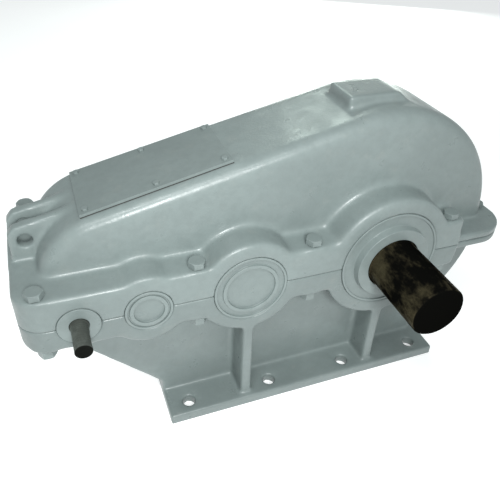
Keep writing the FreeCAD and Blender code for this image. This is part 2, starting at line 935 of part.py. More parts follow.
def cut_teeth(body, prefix, which, start, length, turned_half_pitch):
    """Cut one tooth space from y = start over a length, and repeat it round the axis."""
    module = DIMENSIONS[prefix + "_module"]
    teeth = DIMENSIONS[f"{prefix}_{which}_teeth"]
    pitch_radius = teeth * module / 2
    base_radius = pitch_radius * math.cos(PRESSURE_ANGLE)
    bottom = pitch_radius - 1.25 * module
    foot = max(base_radius, bottom + 0.2 * module)
    outside = pitch_radius + 1.3 * module
    middle_angle = math.pi / teeth if turned_half_pitch else 0.0

    def point(radius, side):
        angle = middle_angle + side * space_half_angle(teeth, module, max(radius, foot))
        return FreeCAD.Vector(radius * math.cos(angle), radius * math.sin(angle), 0)

    sketch = new_sketch(body, "XZ_Plane", -start)
    edges = []
    for side in (-1, 1):
        edges.append(Part.Arc(point(foot, side), point(pitch_radius, side), point(outside, side)))
        edges.append(Part.LineSegment(point(bottom, side), point(foot, side)))
    edges.append(Part.LineSegment(point(bottom, -1), point(bottom, 1)))
    edges.append(Part.LineSegment(point(outside, -1), point(outside, 1)))
    for edge in edges:
        index = sketch.addGeometry(edge, False)
        sketch.addConstraint(Sketcher.Constraint("Block", index))
    pocket = swell(body, sketch, "Pocket", length)
    pattern = body.newObject("PartDesign::PolarPattern", body.Label + "_teeth")
    pattern.Originals = [pocket]
    pattern.Axis = (sketch, ["N_Axis"])
    pattern.Angle = 360
    before = body.Shape.Volume
    bind(pattern, "Occurrences", getattr(d, f"{prefix}_{which}_teeth"))
    body.Tip = pattern
    doc.recompute()
    check_change(body, before, grows=False)


def tip_radius(prefix, which):
    module = getattr(d, prefix + "_module")
    return module * (getattr(d, f"{prefix}_{which}_teeth") + 2) / 2


def key_seat(body, radius, width, depth, start, length):
    """A flat-bottomed keyway along the top of a shaft seat, or one in a gear's bore."""
    sketch = new_sketch(body, "XZ_Plane", -start)
    draw_box(sketch, -width / 2, radius - depth, width / 2, radius + depth)
    swell(body, sketch, "Pocket", length)


def end_keyway(shaft, prefix):
    """The keyway in a free shaft end, along its +X side."""
    radius = getattr(d, prefix + "_end_radius")
    width = getattr(d, prefix + "_end_key")
    depth = getattr(d, prefix + "_end_key_depth")
    sketch = new_sketch(shaft, "XZ_Plane", -(getattr(d, prefix + "_end_y") + d.end_key_margin))
    draw_box(sketch, radius - depth, -width / 2, radius + depth, width / 2)
    swell(shaft, sketch, "Pocket", getattr(d, prefix + "_end_key_length"))


# A key fills the seat in the shaft and in the hub: this share of its width is in each.
KEY_DEPTH = 0.31
KEY_GAP = 0.01


def make_gear(label, prefix, axis, bore, hub, hub_front, hub_back, key_width):
    """A gear wheel with a rim, a web between shallow recesses, a hub and a keyway."""
    front = getattr(d, prefix + "_gear_front")
    back = getattr(d, prefix + "_gear_back")
    tip = tip_radius(prefix, "gear")
    module = getattr(d, prefix + "_module")
    rim = tip - 7 * module
    recess = (back - front) * d.gear_recess
    body = turned(label, [
        (bore, hub_front),
        (hub, hub_front),
        (hub, front + recess),
        (rim, front + recess),
        (rim, front),
        (tip, front),
        (tip, back),
        (rim, back),
        (rim, back - recess),
        (hub, back - recess),
        (hub, hub_back),
        (bore, hub_back),
    ], axis.x)
    depth = (KEY_DEPTH + KEY_GAP) * key_width
    key_seat(body, bore, key_width, depth, hub_front - 1, hub_back - hub_front + 2)
    cut_teeth(body, prefix, "gear", front - 1, back - front + 2, turned_half_pitch=True)
    return body


def make_key(label, axis, radius, width, start, length):
    """A parallel key, half in the shaft and half in the gear."""
    box = doc.addObject("Part::Box", label)
    bind(box, "Length", width)
    bind(box, "Width", length)
    bind(box, "Height", 2 * KEY_DEPTH * width)
    place(box, axis.x - width / 2, start, d.axis_height + radius - KEY_DEPTH * width)
    keep(box, label)


def keyed_gear(shaft, label, key_label, prefix, axis, hub_front, hub_back):
    """A gear on its shaft seat, the key between them and the key's seat in the shaft."""
    seat = getattr(d, axis.prefix + "_seat")
    hub = getattr(d, axis.prefix + "_hub")
    key = getattr(d, axis.prefix + "_key")
    start = hub_front + d.key_margin
    length = hub_back - hub_front - 2 * d.key_margin
    key_seat(shaft, seat, key, (KEY_DEPTH + KEY_GAP) * key, start, length)
    make_gear(label, prefix, axis, seat, hub, hub_front, hub_back, key)
    make_key(key_label, axis, seat, key, start, length)


def cut_pinion(shaft, prefix, front, back):
    cut_teeth(shaft, prefix, "pinion", front - 0.5, back - front + 1, turned_half_pitch=False)


def make_output_shaft():
    """The gear butts against a collar at its back. The seal runs on a journal, and a slightly
    thinner free end stands out beyond it."""
    stop = d.shaft_stop
    seat = d.output_seat
    collar = seat + d.output_collar_rise
    journal_end = -(d.boss_half_width + d.cover_hub_rise + d.journal_overhang)
    hub_back = d.third_gear_back + 4
    hub_front = d.third_gear_front - 10
    shaft = turned("output_shaft", [
        (0, d.output_end_y),
        (d.output_end_radius - d.output_end_chamfer, d.output_end_y),
        (d.output_end_radius, d.output_end_y + d.output_end_chamfer),
        (d.output_end_radius, journal_end),
        (d.output_journal, journal_end),
        (d.output_journal, -(stop + d.journal_land)),
        (OUTPUT.bore, -(stop + d.journal_land)),
        (OUTPUT.bore, -OUTPUT.inner_face),
        (seat, -OUTPUT.inner_face),
        (seat, hub_back),
        (collar, hub_back),
        (collar, OUTPUT.inner_face),
        (OUTPUT.bore, OUTPUT.inner_face),
        (OUTPUT.bore, stop),
        (0, stop),
    ], OUTPUT.x)
    end_keyway(shaft, "output")
    keyed_gear(shaft, "output_gear", "output_gear_key", "third", OUTPUT, hub_front, hub_back)
    turned("output_spacer_sleeve", ring(seat, collar, -OUTPUT.inner_face, hub_front), OUTPUT.x)


def make_second_shaft():
    stop = d.shaft_stop
    seat = d.second_seat
    sleeve = seat + d.second_collar_rise
    pinion_front = d.third_gear_front - d.pinion_overlap
    pinion_back = d.third_gear_back + d.pinion_overlap
    hub_front = d.second_gear_front
    hub_back = d.second_gear_back + 4
    shaft = turned("second_intermediate_shaft", stepped([
        (SECOND.bore, -stop, -SECOND.inner_face),
        (seat, -SECOND.inner_face, hub_back),
        (sleeve, hub_back, pinion_front),
        (tip_radius("third", "pinion"), pinion_front, pinion_back),
        (seat + d.pinion_shoulder_rise, pinion_back, SECOND.inner_face),
        (SECOND.bore, SECOND.inner_face, stop),
    ]), SECOND.x)
    cut_pinion(shaft, "third", pinion_front, pinion_back)
    keyed_gear(shaft, "second_intermediate_gear", "second_gear_key", "second", SECOND,
               hub_front, hub_back)
    turned("second_spacer_sleeve", ring(seat, sleeve, -SECOND.inner_face, hub_front), SECOND.x)


def make_first_shaft():
    stop = d.shaft_stop
    seat = d.first_seat
    pinion_front = d.second_gear_front - d.pinion_overlap
    pinion_back = d.second_gear_back + d.pinion_overlap
    hub_front = d.first_gear_front - 4
    hub_back = d.first_gear_back + 2
    shaft = turned("first_intermediate_shaft", stepped([
        (FIRST.bore, -stop, -FIRST.inner_face),
        (seat, -FIRST.inner_face, pinion_front),
        (tip_radius("second", "pinion"), pinion_front, pinion_back),
        (seat + d.pinion_shoulder_rise, pinion_back, hub_front),
        (seat, hub_front, FIRST.inner_face),
        (FIRST.bore, FIRST.inner_face, stop),
    ]), FIRST.x)
    cut_pinion(shaft, "second", pinion_front, pinion_back)
    keyed_gear(shaft, "first_intermediate_gear", "first_gear_key", "first", FIRST,
               hub_front, hub_back)
    sleeve = seat + d.first_sleeve_rise
    turned("first_spacer_sleeve", ring(seat, sleeve, hub_back, FIRST.inner_face), FIRST.x)


def make_input_shaft():
    stop = d.shaft_stop
    shoulder = INPUT.bore + d.input_shoulder_rise
    journal_end = -(d.boss_half_width + d.journal_overhang)
    pinion_front = d.first_gear_front - d.pinion_overlap
    pinion_back = d.first_gear_back + d.pinion_overlap
    shaft = turned("input_pinion_shaft", [
        (0, d.input_end_y),
        (d.input_end_radius - d.input_end_chamfer, d.input_end_y),
        (d.input_end_radius, d.input_end_y + d.input_end_chamfer),
        (d.input_end_radius, journal_end),
        (d.input_journal, journal_end),
        (d.input_journal, -(stop + d.journal_land)),
    ] + stepped([
        (INPUT.bore, -(stop + d.journal_land), -INPUT.inner_face),
        (shoulder, -INPUT.inner_face, pinion_front),
        (tip_radius("first", "pinion"), pinion_front, pinion_back),
        (shoulder, pinion_back, INPUT.inner_face),
        (INPUT.bore, INPUT.inner_face, stop),
    ])[1:], INPUT.x)
    end_keyway(shaft, "input")
    cut_pinion(shaft, "first", pinion_front, pinion_back)


# Fasteners
def hexagon(name, flats, height, x, y, z):
    prism = doc.addObject("Part::Prism", name)
    prism.Polygon = 6
    bind(prism, "Circumradius", flats / math.sqrt(3))
    bind(prism, "Height", height)
    place(prism, x, y, z)
    return prism


def rod(name, radius, height, x, y, z):
    cylinder = doc.addObject("Part::Cylinder", name)
    bind(cylinder, "Radius", radius)
    bind(cylinder, "Height", height)
    place(cylinder, x, y, z)
    return cylinder


def bolt(name, flats, head, radius, top, length, site):
    """A hexagon bolt that hangs from the height top."""
    x, y = site
    fuse = doc.addObject("Part::Fuse", name)
    fuse.Base = hexagon(name + "_head", flats, head, x, y, top)
    fuse.Tool = rod(name + "_shank", radius, length, x, y, top - length)
    return fuse


def washer_or_nut(name, outer, radius, x, y):
    cut = doc.addObject("Part::Cut", name)
    cut.Base = outer
    hole = rod(name + "_hole", radius, outer_height(outer), x, y, 0)
    bind(hole, "Placement.Base.z", Size(0, outer.Name + ".Placement.Base.z"))
    cut.Tool = hole
    return cut


def outer_height(outer):
    return Size(0, outer.Name + ".Height")


def make_fasteners():
    high = d.axis_height + d.upper_band
    low = d.axis_height - d.lower_band
    washer = d.nut_washer
    sets = [
        ("casing", bolt_sites(), high, low, d.casing_bolt_flats, d.casing_bolt_head,
         d.casing_bolt_radius, d.casing_nut_height, d.casing_bolt_tail),
        ("end_flange", end_bolt_sites(), d.axis_height + d.end_flange,
         d.axis_height - d.end_flange, d.end_bolt_flats, d.end_bolt_head, d.end_bolt_radius,
         d.end_nut_height, d.end_bolt_tail),
    ]
    for prefix, sites, top, under, flats, head, radius, nut, tail in sets:
        bolts, nuts, washers = [], [], []
        for site in sites:
            x, y = site
            bolts.append(bolt(prefix + "_bolt", flats, head, radius, top, top - under + tail, site))
            outer = hexagon(prefix + "_nut_block", flats, nut, x, y, under - washer - nut)
            nuts.append(washer_or_nut(prefix + "_nut", outer, radius, x, y))
            outer = rod(prefix + "_washer_disc", flats * 0.6, washer, x, y, under - washer)
            washers.append(washer_or_nut(prefix + "_washer", outer, radius, x, y))
        group(prefix + "_bolts", bolts)
        group(prefix + "_nuts", nuts)
        group(prefix + "_washers", washers)
    pins = [rod("dowel", d.dowel_radius, 2 * d.dowel_half_length, x, y,
                d.axis_height - d.dowel_half_length) for x, y in dowel_sites()]
    group("dowel_pins", pins)


# Inspection cover: built flat about its own centre, then tilted to lie on the sloping top.
def lie_on_slope(thing, rise):
    """Tilt a flat piece and set its underside's centre at the hatch centre, rise above the top."""
    middle = (d.cover_plate_left_x + d.cover_plate_right_x) / 2
    thing.Placement = FreeCAD.Placement(FreeCAD.Vector(0, 0, 0),
                                        FreeCAD.Rotation(FreeCAD.Vector(0, -1, 0), 10))
    bind(thing, "Placement.Rotation.Angle", d.top_slope)
    place(thing, middle - rise * SINE, 0, slope_height(middle) + rise * COSINE)


def cover_screw_sites():
    half_length = (d.cover_plate_right_x - d.cover_plate_left_x) / COSINE / 2 - d.cover_screw_inset
    half_width = d.cover_plate_half_width - d.cover_screw_inset
    return [(along * half_length, across * half_width) for across in (FRONT, BACK)
            for along in (-1, 0, 1)]


def make_inspection_cover():
    length = (d.cover_plate_right_x - d.cover_plate_left_x) / COSINE
    half = d.cover_plate_half_width
    opening = d.hatch_margin - 2
    for label, thickness, rise in (
            ("inspection_cover_gasket", d.gasket_thickness, as_size(0)),
            ("inspection_cover", d.cover_plate_thickness, d.gasket_thickness)):
        body = new_body(label)
        sketch = new_sketch(body, "XY_Plane")
        draw_box(sketch, -length / 2, -half, length / 2, half)
        swell(body, sketch, "Pad", thickness)
        sketch = new_sketch(body, "XY_Plane")
        if label == "inspection_cover_gasket":
            draw_box(sketch, -length / 2 + opening, -half + opening,
                     length / 2 - opening, half - opening)
        for x, y in cover_screw_sites():
            draw_circle(sketch, x, y, d.cover_screw_radius + d.cover_screw_clearance)
        swell(body, sketch, "Pocket", thickness, backwards=True)
        lie_on_slope(body, rise)
    screws = []
    for x, y in cover_screw_sites():
        fuse = doc.addObject("Part::Fuse", "cover_screw")
        fuse.Base = hexagon("cover_screw_head", d.cover_screw_flats, d.cover_screw_head, x, y, 0)
        fuse.Tool = rod("cover_screw_shank", d.cover_screw_radius, d.cover_screw_length, x, y,
                        -d.cover_screw_length)
        screws.append(fuse)
    compound = group("inspection_cover_screws", screws)
    lie_on_slope(compound, d.gasket_thickness + d.cover_plate_thickness)
    return compound


def tap_cover_holes():
    """Blind holes in the casing's sloping top for the inspection cover's screws."""
    casing = next(part for part in parts if part.Label == "upper_casing")
    middle = (d.cover_plate_left_x + d.cover_plate_right_x) / 2
    sketch = new_sketch(casing, "XY_Plane")
    sketch.AttachmentOffset = FreeCAD.Placement(FreeCAD.Vector(0, 0, 0),
                                                FreeCAD.Rotation(FreeCAD.Vector(0, -1, 0), 10))
    bind(sketch, "AttachmentOffset.Rotation.Angle", d.top_slope)
    bind(sketch, "AttachmentOffset.Base.x", middle)
    bind(sketch, "AttachmentOffset.Base.z", slope_height(middle))
    for x, y in cover_screw_sites():
        draw_circle(sketch, x, y, d.cover_screw_radius + d.cover_screw_clearance)
    swell(casing, sketch, "Pocket", d.cover_screw_length - d.cover_plate_thickness)


# Oil plugs and the breather, all on the back wall.
def make_plugs():
    face = d.hull_half_width + d.plug_pad_rise
    for label, height in (("drain_plug", d.drain_height), ("oil_level_plug", d.level_height)):
        fuse = doc.addObject("Part::Fuse", label)
        head = hexagon(label + "_head", d.plug_head * 1.6, d.plug_thickness, 0, 0, d.plug_washer)
        shank = rod(label + "_shank", d.plug_radius, d.wall + d.plug_pad_rise + d.plug_washer, 0, 0,
                    -(d.wall + d.plug_pad_rise))
        fuse.Base, fuse.Tool = head, shank
        fuse.Placement = FreeCAD.Placement(FreeCAD.Vector(0, 0, 0),
                                           FreeCAD.Rotation(FreeCAD.Vector(1, 0, 0), -90))
        place(fuse, d.drain_x, face, height)
        keep(fuse, label)
    washers = []
    for height in (d.drain_height, d.level_height):
        cut = doc.addObject("Part::Cut", "plug_washer")
        cut.Base = rod("plug_washer_disc", d.plug_head, d.plug_washer, 0, 0, 0)
        cut.Tool = rod("plug_washer_hole", d.plug_radius, d.plug_washer, 0, 0, 0)
        cut.Placement = FreeCAD.Placement(FreeCAD.Vector(0, 0, 0),
                                          FreeCAD.Rotation(FreeCAD.Vector(1, 0, 0), -90))
        place(cut, d.drain_x, face, height)
        washers.append(cut)
    group("plug_sealing_washers", washers)
    bore = d.plug_radius
    cap = d.plug_head
    collar = cap - d.breather_collar_inset
    cap_side = face + d.breather_stem + d.breather_cap_side
    turned("breather", [
        (0, face - d.wall - d.plug_pad_rise),
        (bore, face - d.wall - d.plug_pad_rise),
        (bore, face),
        (collar, face),
        (collar, face + d.breather_collar),
        (bore, face + d.breather_collar),
        (bore, face + d.breather_stem),
        (cap, face + d.breather_stem),
        (cap, cap_side),
        (cap - d.breather_cap_chamfer, cap_side + d.breather_cap_slope),
        (0, cap_side + d.breather_cap_slope),
    ], d.breather_x, z=d.breather_height)


make_upper_casing()
make_lower_casing()
make_covers()
make_seals()
make_bearings()
make_output_shaft()
make_second_shaft()
make_first_shaft()
make_input_shaft()
make_fasteners()
make_inspection_cover()
tap_cover_holes()
make_plugs()
doc.recompute()

for thing in doc.Objects:
    if "Invalid" in thing.State or "Error" in thing.State:
        raise RuntimeError(f"{thing.Label} ({thing.Name}) failed: {thing.State}")
for part in parts:
    if part.Shape.isNull() or not part.Shape.isValid():
        raise RuntimeError(f"{part.Label} has no valid shape")

os.makedirs("parts", exist_ok=True)
for part in parts:
    part.Shape.exportStep(f"parts/{part.Label}.step")
    box = part.Shape.BoundBox
    print(f"{part.Label}: {len(part.Shape.Solids)} solids, {part.Shape.Volume / 1000:.1f} cm3, "
          f"x {box.XMin:.1f}..{box.XMax:.1f} y {box.YMin:.1f}..{box.YMax:.1f} "
          f"z {box.ZMin:.1f}..{box.ZMax:.1f}")
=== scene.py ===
import json
import math

import bmesh
import bpy
import numpy as np
from mathutils import Matrix, Vector


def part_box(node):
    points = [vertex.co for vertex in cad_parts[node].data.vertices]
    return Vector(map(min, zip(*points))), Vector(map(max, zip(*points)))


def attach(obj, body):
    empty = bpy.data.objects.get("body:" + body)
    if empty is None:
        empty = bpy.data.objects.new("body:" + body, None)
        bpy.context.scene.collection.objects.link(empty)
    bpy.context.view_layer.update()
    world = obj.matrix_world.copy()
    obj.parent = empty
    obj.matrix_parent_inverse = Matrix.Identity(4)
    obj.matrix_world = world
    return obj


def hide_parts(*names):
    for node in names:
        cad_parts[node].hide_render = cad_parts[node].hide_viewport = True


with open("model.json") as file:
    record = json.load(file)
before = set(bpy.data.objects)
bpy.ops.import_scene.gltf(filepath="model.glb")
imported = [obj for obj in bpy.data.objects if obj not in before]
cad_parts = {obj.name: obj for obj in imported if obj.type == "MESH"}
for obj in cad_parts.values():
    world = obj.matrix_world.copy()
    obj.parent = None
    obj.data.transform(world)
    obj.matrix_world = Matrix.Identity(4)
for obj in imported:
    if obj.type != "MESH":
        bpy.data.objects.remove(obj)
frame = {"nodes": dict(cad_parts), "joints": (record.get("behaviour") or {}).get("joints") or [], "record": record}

# A three-stage gear reducer in a painted split casing, on a plain pale floor.
# Metres, +Z up. The row of shafts runs along X, and the free shaft ends point to -Y.

SCENE = bpy.context.scene
NODES = frame["nodes"]
BODY_OF = {node: body for body, members in frame["record"]["behaviour"]["bodies"].items()
           for node in members}
SLOT_OF = {row["node"]: row["material_slot"] for row in frame["record"]["subparts"]}
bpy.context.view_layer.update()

MM = 0.001


# ---------------------------------------------------------------- camera, floor and lights
CAMERA_PLACE = (-0.37842, -0.73907, 0.83070)
CAMERA_HEADING = math.radians(22.136)  # from +Y toward +X
CAMERA_DIP = math.radians(36.825)
CAMERA_ROLL = math.radians(2.880)
CAMERA_LENS = 39.956
CAMERA_SENSOR = 36

CASING_MIDDLE = (-0.05, 0.0, 0.25)
CROWN = (0.1, 0, 0.4)
LAMP_TARGET = (-0.18, -0.1, 0.38)
FLOOR_REACH = 60.0


def add_camera():
    """The camera stands in front of the input end and looks down across the row of shafts."""
    heading, dip, roll = CAMERA_HEADING, CAMERA_DIP, CAMERA_ROLL
    forward = Vector((math.sin(heading) * math.cos(dip), math.cos(heading) * math.cos(dip),
                      -math.sin(dip)))
    level = Vector((math.cos(heading), -math.sin(heading), 0))
    upright = level.cross(forward)
    right = level * math.cos(roll) + upright * math.sin(roll)
    up = upright * math.cos(roll) - level * math.sin(roll)
    data = bpy.data.cameras.new("camera")
    data.sensor_width = CAMERA_SENSOR
    data.lens = CAMERA_LENS
    data.clip_start = 0.01
    data.clip_end = 100
    camera = bpy.data.objects.new("camera", data)
    turn = Matrix((right, up, -forward)).transposed()
    camera.matrix_world = Matrix.Translation(CAMERA_PLACE) @ turn.to_4x4()
    SCENE.collection.objects.link(camera)
    SCENE.camera = camera


def add_light(data, place, target, power, colour):
    """Stand a light at a place and aim it at a target."""
    data.energy = power
    data.color = colour
    light = bpy.data.objects.new(data.name, data)
    way = Vector(target) - Vector(place)
    aim = way.to_track_quat("-Z", "Y").to_matrix().to_4x4()
    light.matrix_world = Matrix.Translation(place) @ aim
    SCENE.collection.objects.link(light)


def add_lamp(name, **aim):
    """A soft round lamp, whose beam fades toward the ends of the object."""
    data = bpy.data.lights.new(name, "SPOT")
    data.spot_size = math.radians(48)
    data.spot_blend = 1.0
    data.shadow_soft_size = 0.25
    add_light(data, **aim)


def add_panel(name, size, **aim):
    """A rectangular light, such as a window lets in."""
    data = bpy.data.lights.new(name, "AREA")
    data.shape = "RECTANGLE"
    data.size, data.size_y = size
    add_light(data, **aim)


def add_surroundings():
    """A pale room: even light all round, a soft lamp beside the camera, a ceiling strip, and a
    doorway and a window behind the output end, which the sloping top reflects."""
    SCENE.view_settings.view_transform = "Standard"
    world = bpy.data.worlds.new("surroundings")
    world.use_nodes = True
    background = world.node_tree.nodes["Background"]
    background.inputs["Color"].default_value = (0.92, 0.98, 1.0, 1)
    background.inputs["Strength"].default_value = 0.36
    SCENE.world = world
    add_lamp("lamp", place=(-0.32, -1.50, 1.22), target=LAMP_TARGET, power=128,
             colour=(0.98, 1.0, 1.0))
    add_panel("ceiling", size=(1.8, 0.16), place=(-0.9, -1.3, 2.9), target=CASING_MIDDLE,
              power=42, colour=(0.96, 1.0, 1.0))
    add_panel("doorway", size=(1.5, 0.8), place=(1.45, 2.6, 0.50), target=CROWN,
              power=24, colour=(0.90, 1.0, 0.93))
    add_panel("window", size=(0.6, 0.5), place=(0.65, 1.9, 2.0), target=CROWN,
              power=8, colour=(0.86, 1.0, 0.92))
    data = bpy.data.meshes.new("floor")
    reach = FLOOR_REACH
    corners = [(-reach, -reach, 0), (reach, -reach, 0), (reach, reach, 0), (-reach, reach, 0)]
    data.from_pydata(corners, [], [(0, 1, 2, 3)])
    floor = bpy.data.objects.new("floor", data)
    floor.data.materials.append(floor_finish())
    SCENE.collection.objects.link(floor)


# ---------------------------------------------------------------- materials
# Sockets of a Mix node that mixes colours.
MIX_SHARE, MIX_FIRST, MIX_SECOND, MIX_RESULT = 0, 6, 7, 2


class Graph:
    """Builds a node material on one Principled shader, with object coordinates in metres."""

    def __init__(self, name):
        self.material = bpy.data.materials.new(name)
        self.material.use_nodes = True
        self.nodes = self.material.node_tree.nodes
        self.links = self.material.node_tree.links
        self.shader = self.nodes["Principled BSDF"]
        self.position = self.nodes.new("ShaderNodeTexCoord").outputs["Object"]

    def put(self, socket, value):
        if isinstance(value, bpy.types.NodeSocket):
            self.links.new(value, socket)
        else:
            socket.default_value = value

    def set(self, node, inputs):
        for name, value in inputs.items():
            self.put(node.inputs[name], value)

    def noise(self, scale, detail=4.0, roughness=0.55, stretch=None):
        node = self.nodes.new("ShaderNodeTexNoise")
        place = self.position
        if stretch:
            mapping = self.nodes.new("ShaderNodeMapping")
            self.set(mapping, {"Vector": place, "Scale": stretch})
            place = mapping.outputs["Vector"]
        self.set(node, {"Vector": place, "Scale": scale, "Detail": detail, "Roughness": roughness})
        return node.outputs["Fac"]

    def ramp(self, value, low, high, start=0.0, end=1.0):
        """Map value from low..high to start..end, smoothly and without going past the ends."""
        node = self.nodes.new("ShaderNodeMapRange")
        node.interpolation_type = "SMOOTHSTEP"
        self.set(node, {"Value": value, "From Min": low, "From Max": high,
                        "To Min": start, "To Max": end})
        return node.outputs["Result"]

    def combine(self, operation, first, second):
        node = self.nodes.new("ShaderNodeMath")
        node.operation = operation
        self.put(node.inputs[0], first)
        self.put(node.inputs[1], second)
        return node.outputs["Value"]

    def times(self, first, second):
        return self.combine("MULTIPLY", first, second)

    def plus(self, first, second):
        return self.combine("ADD", first, second)

    def larger(self, first, second):
        return self.combine("MAXIMUM", first, second)

    def mix(self, share, first, second):
        """The first colour where share is 0, the second where it is 1."""
        node = self.nodes.new("ShaderNodeMix")
        node.data_type = "RGBA"
        self.put(node.inputs[MIX_SHARE], share)
        self.put(node.inputs[MIX_FIRST], first)
        self.put(node.inputs[MIX_SECOND], second)
        return node.outputs[MIX_RESULT]

    def edge(self, low, high):
        """From 0 to 1 as the pointiness goes from low to high. It is 0.5 on a flat face, more
        on an outer edge and less in an inner corner."""
        geometry = self.nodes.new("ShaderNodeNewGeometry")
        return self.ramp(geometry.outputs["Pointiness"], low, high)

    def axes(self):
        """The X, Y and Z of the position."""
        split = self.nodes.new("ShaderNodeSeparateXYZ")
        self.set(split, {"Vector": self.position})
        return split.outputs[:3]

    def bump(self, height, strength, distance, under=None):
        """Raised grain. under is a coarser or finer bump that it lies on."""
        node = self.nodes.new("ShaderNodeBump")
        self.set(node, {"Height": height, "Strength": strength, "Distance": distance})
        if under is not None:
            self.links.new(under, node.inputs["Normal"])
        return node.outputs["Normal"]

    def finish(self, **inputs):
        names = {"colour": "Base Color", "roughness": "Roughness", "metallic": "Metallic",
                 "normal": "Normal", "specular": "Specular IOR Level"}
        self.set(self.shader, {names[key]: value for key, value in inputs.items()})
        return self.material


GREY = (0.196, 0.234, 0.228)
DUST = (0.62, 0.62, 0.56)
GREASE_FILM = (0.006, 0.0055, 0.0045, 1)
GREASE_COAT = (0.0030, 0.0030, 0.0026, 1)
OUTPUT_SHAFT_SKIN = (0.080, 0.068, 0.038, 1)
INPUT_SHAFT_SKIN = (0.21, 0.235, 0.21, 1)
TOOL_MARKS = (0.03, 0.026, 0.018, 1)


def tint(colour, factor):
    return tuple(channel * factor for channel in colour) + (1,)


def grey(factor):
    return tuple(factor * channel for channel in GREY)


def floor_finish():
    """A pale floor that glows a little, so that shadows on it stay faint."""
    graph = Graph("floor_finish")
    tone = graph.ramp(graph.noise(scale=1.4, detail=2), low=0.3, high=0.7)
    colour = graph.mix(tone, (0.80, 0.81, 0.81, 1), (0.82, 0.825, 0.825, 1))
    graph.set(graph.shader, {"Emission Color": (1, 1, 1, 1), "Emission Strength": 0.45})
    return graph.finish(colour=colour, roughness=0.7, specular=0.2)


def paint(name, colour, cast=1.0, roughness=0.33):
    """Satin machine paint: cloudy and dusty, rubbed lighter on its edges, with painted shade darkening its inner
    corners.

    cast is how strongly the sand-cast skin shows through it.
    """
    graph = Graph(name)
    cloud = graph.ramp(graph.noise(scale=7, detail=5), low=0.3, high=0.7)
    base = graph.mix(cloud, tint(colour, 0.93), tint(colour, 1.05))
    mottle = graph.ramp(graph.noise(scale=75, detail=4, roughness=0.6), low=0.35, high=0.68)
    base = graph.mix(graph.times(mottle, 0.35), base, tint(colour, 0.82))
    dust = graph.ramp(graph.noise(scale=38, detail=6, roughness=0.7), low=0.52, high=0.80)
    base = graph.mix(graph.times(dust, 0.14), base, tint(DUST, 0.6))
    worn = graph.ramp(graph.noise(scale=60, detail=5), low=0.5, high=0.62)
    rubbed = graph.times(graph.edge(low=0.53, high=0.60), worn)
    base = graph.mix(graph.times(rubbed, 0.55), base, tint(colour, 1.35))
    # Painted shade: inner corners and creases darken toward a dark tint of the paint, standing in for the shade
    # that falls there.
    corner = graph.ramp(graph.edge(low=0.40, high=0.485), low=0.0, high=1.0, start=1.0, end=0.0)
    base = graph.mix(graph.times(corner, 0.45), base, tint(colour, 0.45))
    gloss = graph.ramp(graph.noise(scale=26, detail=4), low=0.3, high=0.7,
                       start=roughness - 0.06, end=roughness + 0.09)
    gloss = graph.plus(gloss, graph.times(dust, 0.07))
    peel = graph.bump(graph.noise(scale=520, detail=2), strength=0.22, distance=0.0004)
    sand = graph.bump(graph.noise(scale=230, detail=2, roughness=0.5), strength=0.30 * cast,
                      distance=0.0007, under=peel)
    waves = graph.bump(graph.noise(scale=20, detail=1), strength=0.36 * cast, distance=0.0040,
                       under=sand)
    return graph.finish(colour=base, roughness=gloss, normal=waves, specular=0.5)


def turning_marks(graph):
    """Fine rings round an axis along Y, as a lathe leaves them."""
    return graph.noise(scale=1.0, detail=3, roughness=0.6, stretch=(30, 1500, 30))


def turned_skin(graph, marks):
    """The relief of turning marks with small pits between them."""
    fine = graph.bump(marks, strength=0.18, distance=0.0002)
    return graph.bump(graph.noise(scale=210, detail=5), strength=0.20, distance=0.0006, under=fine)


def steel(name, colour, roughness=0.32, grease=0.0):
    """Turned steel with fine tool marks, under a patchy film of grease if it has one."""
    graph = Graph(name)
    marks = turning_marks(graph)
    base = graph.mix(graph.ramp(marks, low=0.3, high=0.7), tint(colour, 0.82), tint(colour, 1.12))
    gloss = graph.ramp(marks, low=0.2, high=0.8, start=roughness - 0.08, end=roughness + 0.10)
    if grease:
        film = graph.ramp(graph.noise(scale=16, detail=5, roughness=0.62), low=0.36, high=0.60)
        base = graph.mix(graph.times(film, grease), base, GREASE_FILM)
        smears = graph.ramp(graph.noise(scale=45, detail=4), low=0.35, high=0.65,
                            start=-0.06, end=0.14)
        gloss = graph.plus(gloss, smears)
    return graph.finish(colour=base, roughness=gloss, metallic=1.0,
                        normal=turned_skin(graph, marks))


def end_mask(graph, y, node, depth):
    """1 on the face at a shaft's -Y end, fading to 0 over the stretch up to depth behind it."""
    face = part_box(node)[0].y
    return graph.ramp(y, low=face + 0.8 * MM, high=face + depth, start=1.0, end=0.0)


